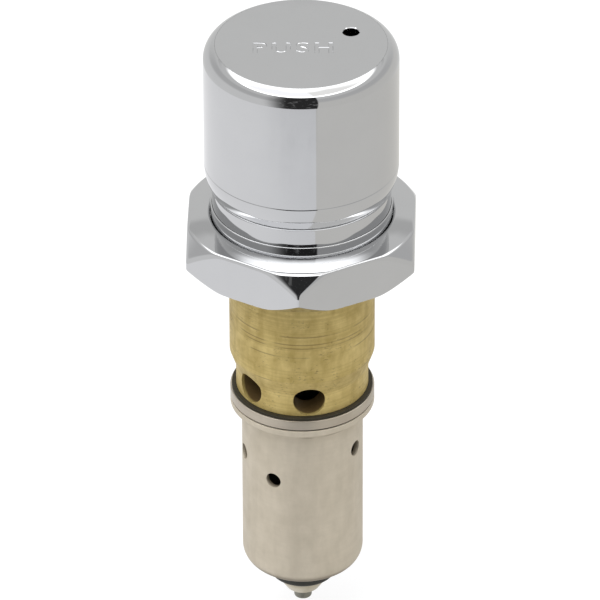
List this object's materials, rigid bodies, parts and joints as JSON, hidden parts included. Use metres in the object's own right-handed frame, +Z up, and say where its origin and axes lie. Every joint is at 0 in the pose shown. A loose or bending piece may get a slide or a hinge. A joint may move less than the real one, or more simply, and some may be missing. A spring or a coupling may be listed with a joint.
{
  "type": "metering faucet cartridge",
  "caption": "Self-closing metering faucet cartridge: push button, hexagon cap nut, ported brass body and cross-drilled steel sleeve.",
  "frame": {"origin": "on the cartridge's axis at the underside of the cap nut, inside the span of the spigot", "axes": "+Z up along the axis to the push button's top, -Z down the spigot; -Y is the side that the picture's camera sees"},
  "size_m": [0.038, 0.043, 0.1085],
  "materials": {
    "polished_chrome": "polished",
    "turned_brass": "turned",
    "ring_nickel": "turned",
    "sleeve_steel": "satin",
    "retainer_nickel": "satin",
    "stainless_steel": "turned",
    "spring_steel": "drawn",
    "black_rubber": "moulded",
    "dark_fibre": "pressed",
    "white_plastic": "moulded"
  },
  "bodies": {
    "valve": {"valve_body": "turned_brass", "guide_collar": "polished_chrome", "neck_gasket": "black_rubber", "body_o_ring": "black_rubber", "ring_gasket": "dark_fibre", "seal_ring": "ring_nickel", "sleeve": "sleeve_steel", "stem_seal": "black_rubber", "seal_washer": "stainless_steel", "return_spring": "spring_steel"},
    "nut": {"hex_cap_nut": "polished_chrome"},
    "plunger": {"spindle": "stainless_steel", "plunger_head": "turned_brass", "thrust_washer": "white_plastic", "head_clip": "spring_steel", "valve_disc": "black_rubber", "disc_holder": "turned_brass", "spacer_tube": "stainless_steel", "cup_seal": "black_rubber", "piston": "turned_brass", "piston_clip": "spring_steel", "foot_washer": "black_rubber", "washer_retainer": "retainer_nickel"},
    "button": {"push_button": "polished_chrome", "button_snap_ring": "spring_steel"},
    "screw": {"stroke_screw": "stainless_steel"}
  },
  "joints": [
    {"name": "cap_nut_turn", "type": "hinge", "parent": "valve", "child": "nut", "pos_m": [0, 0, 0.004], "axis": [0, 0, 1], "continuous": true},
    {"name": "button_push", "type": "slide", "parent": "valve", "child": "plunger", "axis": [0, 0, -1], "range_m": [0, 0.003], "stiffness_N_per_m": 1200, "springref_m": -0.008, "deforming": ["return_spring"]},
    {"name": "button_turn", "type": "hinge", "parent": "plunger", "child": "button", "pos_m": [0, 0, 0.033], "axis": [0, 0, 1], "continuous": true},
    {"name": "stroke_screw_turn", "type": "hinge", "parent": "plunger", "child": "screw", "pos_m": [0.00811, 0.0039, 0.03], "axis": [0, 0, 1], "range_deg": [-360, 360]}
  ]
}
